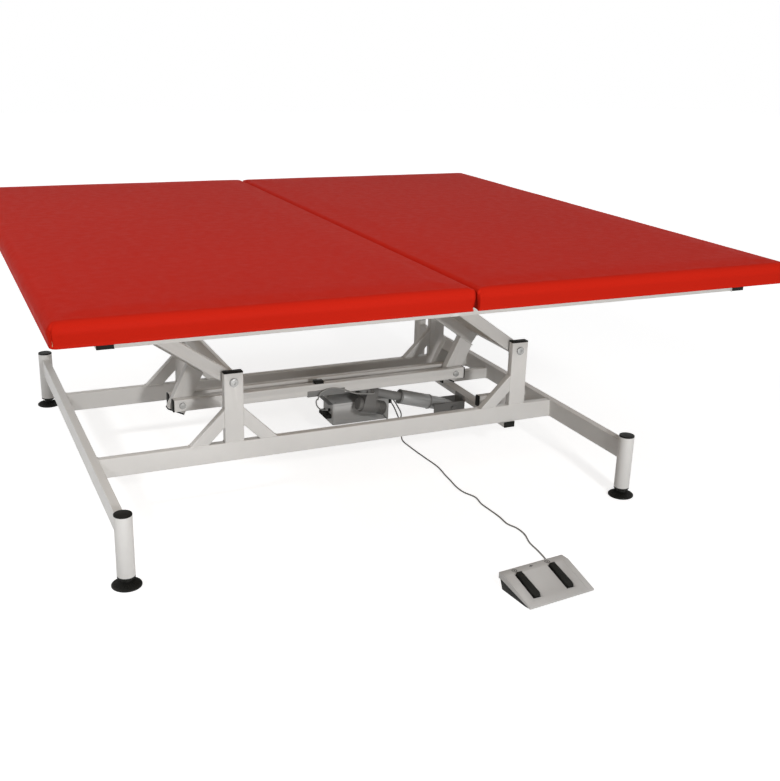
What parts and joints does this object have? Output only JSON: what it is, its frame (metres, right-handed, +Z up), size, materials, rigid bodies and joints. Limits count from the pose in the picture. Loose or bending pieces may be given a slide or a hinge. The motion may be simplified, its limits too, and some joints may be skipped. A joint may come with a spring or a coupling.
{
  "type": "bobath table",
  "caption": "Wide two-pad treatment table on a low steel base, raised by parallel cranks and an electric actuator, with a corded foot switch.",
  "frame": {"origin": "on the floor, midway between the four legs' centres", "axes": "+X along the two long rails, away from the leg end with the left crank; +Y away from the foot switch; +Z up"},
  "size_m": [2.06, 2.2413, 0.7885],
  "materials": {
    "white_paint": "satin",
    "black_plastic": "matte",
    "zinc_steel": "satin",
    "dark_paint": "satin",
    "grey_plastic": "matte",
    "tube_grey": "satin",
    "circuit_green": "matte",
    "plywood": "matte",
    "red_vinyl": "satin",
    "switch_grey": "matte",
    "cord_grey": "matte"
  },
  "bodies": {
    "base": {"legs": "white_paint", "leg_caps": "black_plastic", "leg_plugs": "black_plastic", "end_bars": "white_paint", "long_rails": "white_paint", "posts": "white_paint", "post_braces": "white_paint", "base_tube_caps": "black_plastic", "pivot_spacers": "black_plastic", "crank_pivot_bolts": "zinc_steel", "support_tubes": "white_paint", "actuator_bracket": "dark_paint", "switch_shell": "switch_grey", "switch_base": "black_plastic", "switch_cord": "cord_grey"},
    "front_left_leveller": {"front_left_foot": "black_plastic"},
    "front_right_leveller": {"front_right_foot": "black_plastic"},
    "rear_left_leveller": {"rear_left_foot": "black_plastic"},
    "rear_right_leveller": {"rear_right_foot": "black_plastic"},
    "left_crank": {"left_side_arms": "white_paint", "left_cross_tubes": "white_paint", "left_middle_arm": "white_paint", "left_lever": "white_paint", "left_lever_cap": "black_plastic"},
    "right_crank": {"right_side_arms": "white_paint", "right_cross_tubes": "white_paint", "right_middle_arm": "white_paint", "right_levers": "white_paint", "right_lever_caps": "black_plastic"},
    "push_bar_group": {"push_bars": "white_paint", "push_bar_caps": "black_plastic", "lever_pins": "zinc_steel", "actuator_clevis": "dark_paint", "box_hanger": "dark_paint", "control_box_body": "grey_plastic", "control_box_lid": "grey_plastic", "control_board": "circuit_green", "box_connectors": "black_plastic", "motor_lead": "cord_grey", "limit_switch_lead": "cord_grey"},
    "cord_drop": {"switch_cord_drop": "cord_grey"},
    "actuator_motor": {"gearbox": "grey_plastic", "motor_barrel": "grey_plastic", "motor_tail": "black_plastic", "inner_tube": "tube_grey", "lead_screw": "zinc_steel"},
    "actuator_sleeve": {"outer_sleeve": "tube_grey", "sleeve_flange": "dark_paint", "rear_eye": "zinc_steel"},
    "top_frame": {"frame_end_tubes": "white_paint", "frame_long_rails": "white_paint", "frame_middle_tubes": "white_paint", "frame_tube_caps": "black_plastic", "pivot_ears": "white_paint", "upper_pivot_bolts": "zinc_steel", "pad_boards": "plywood", "left_pad": "red_vinyl", "right_pad": "red_vinyl"},
    "up_pedal": {"left_pedal": "black_plastic"},
    "down_pedal": {"right_pedal": "black_plastic"}
  },
  "joints": [
    {"name": "left_crank_hinge", "type": "hinge", "parent": "base", "child": "left_crank", "pos_m": [-0.363, 0, 0.376], "axis": [0, 1, 0], "range_deg": [-30, 20]},
    {"name": "right_crank_hinge", "type": "hinge", "parent": "base", "child": "right_crank", "pos_m": [0.634, 0, 0.376], "axis": [0, 1, 0], "range_deg": [-30, 20]},
    {"name": "top_frame_hinge", "type": "hinge", "parent": "left_crank", "child": "top_frame", "pos_m": [-0.77157, 0, 0.66422], "axis": [0, 1, 0], "range_deg": [-20, 30]},
    {"name": "push_bar_hinge", "type": "hinge", "parent": "left_crank", "child": "push_bar_group", "pos_m": [-0.45622, 0, 0.22085], "axis": [0, 1, 0], "range_deg": [-20, 30]},
    {"name": "actuator_front_hinge", "type": "hinge", "parent": "push_bar_group", "child": "actuator_motor", "pos_m": [0.19, 0, 0.18585], "axis": [0, 1, 0], "range_deg": [-2.71, 1.81]},
    {"name": "actuator_stroke", "type": "slide", "parent": "actuator_motor", "child": "actuator_sleeve", "axis": [0.9613, 0, -0.2756], "range_m": [-0.0907, 0.0605]},
    {"name": "cord_drop_swing", "type": "hinge", "parent": "base", "child": "cord_drop", "pos_m": [0.42122, 0.046, 0.26315], "axis": [0, 1, 0], "range_deg": [-30, 20]},
    {"name": "front_left_foot_turn", "type": "hinge", "parent": "base", "child": "front_left_leveller", "pos_m": [-0.783, -0.737, 0.03], "axis": [0, 0, 1], "continuous": true},
    {"name": "front_right_foot_turn", "type": "hinge", "parent": "base", "child": "front_right_leveller", "pos_m": [0.783, -0.737, 0.03], "axis": [0, 0, 1], "continuous": true},
    {"name": "rear_left_foot_turn", "type": "hinge", "parent": "base", "child": "rear_left_leveller", "pos_m": [-0.783, 0.737, 0.03], "axis": [0, 0, 1], "continuous": true},
    {"name": "rear_right_foot_turn", "type": "hinge", "parent": "base", "child": "rear_right_leveller", "pos_m": [0.783, 0.737, 0.03], "axis": [0, 0, 1], "continuous": true},
    {"name": "up_pedal_hinge", "type": "hinge", "parent": "base", "child": "up_pedal", "pos_m": [0.16225, -1.13207, 0.03587], "axis": [0.9945, 0.1045, 0], "range_deg": [0, 4], "stiffness_Nm_per_rad": 1.5, "springref_deg": -5.73},
    {"name": "down_pedal_hinge", "type": "hinge", "parent": "base", "child": "down_pedal", "pos_m": [0.27165, -1.12057, 0.03587], "axis": [0.9945, 0.1045, 0], "range_deg": [0, 4], "stiffness_Nm_per_rad": 1.5, "springref_deg": -5.73}
  ],
  "couplings": [
    {"joint": "right_crank_hinge", "follows": "left_crank_hinge", "ratio": 1},
    {"joint": "cord_drop_swing", "follows": "left_crank_hinge", "ratio": 1},
    {"joint": "top_frame_hinge", "follows": "left_crank_hinge", "ratio": -1},
    {"joint": "push_bar_hinge", "follows": "left_crank_hinge", "ratio": -1},
    {"joint": "actuator_front_hinge", "follows": "left_crank_hinge", "ratio": 0.09},
    {"joint": "actuator_stroke", "follows": "left_crank_hinge", "m_per_rad": 0.173}
  ]
}
